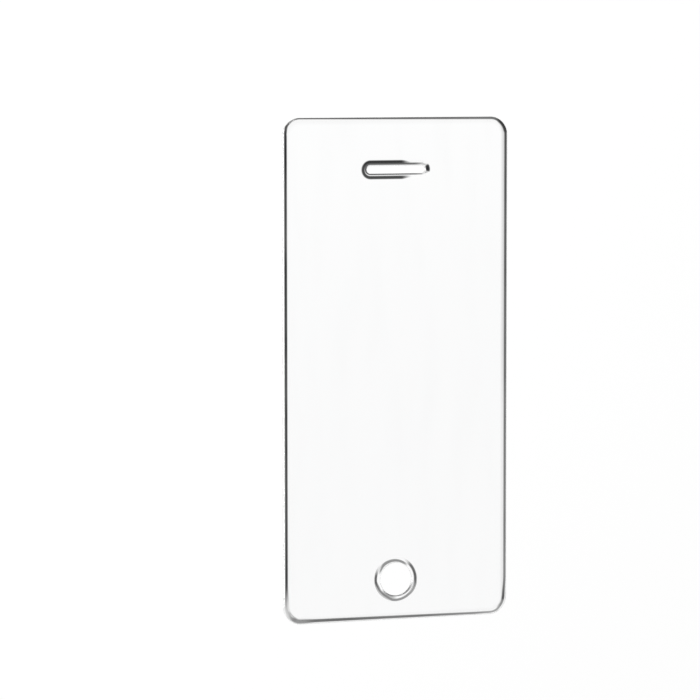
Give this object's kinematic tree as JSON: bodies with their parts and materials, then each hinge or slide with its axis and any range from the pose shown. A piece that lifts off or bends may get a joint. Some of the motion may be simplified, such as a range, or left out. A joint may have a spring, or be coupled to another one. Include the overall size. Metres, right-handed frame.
{
  "type": "phone screen protector",
  "caption": "Clear tempered glass sheet with rounded corners, a rolled front edge, an earpiece slot and a home button hole, which lies over a phone's screen.",
  "frame": {"origin": "middle of the rear face, on the surface that the sheet lies on", "axes": "+Z out of the front face, +Y along the length to the earpiece end, +X to the right seen from the front"},
  "size_m": [0.063, 0.134, 0.0005],
  "materials": {
    "clear_glass": "clear and polished on both faces, grey along the ground edges"
  },
  "bodies": {
    "root": {"glass_sheet": "clear_glass"}
  },
  "joints": []
}
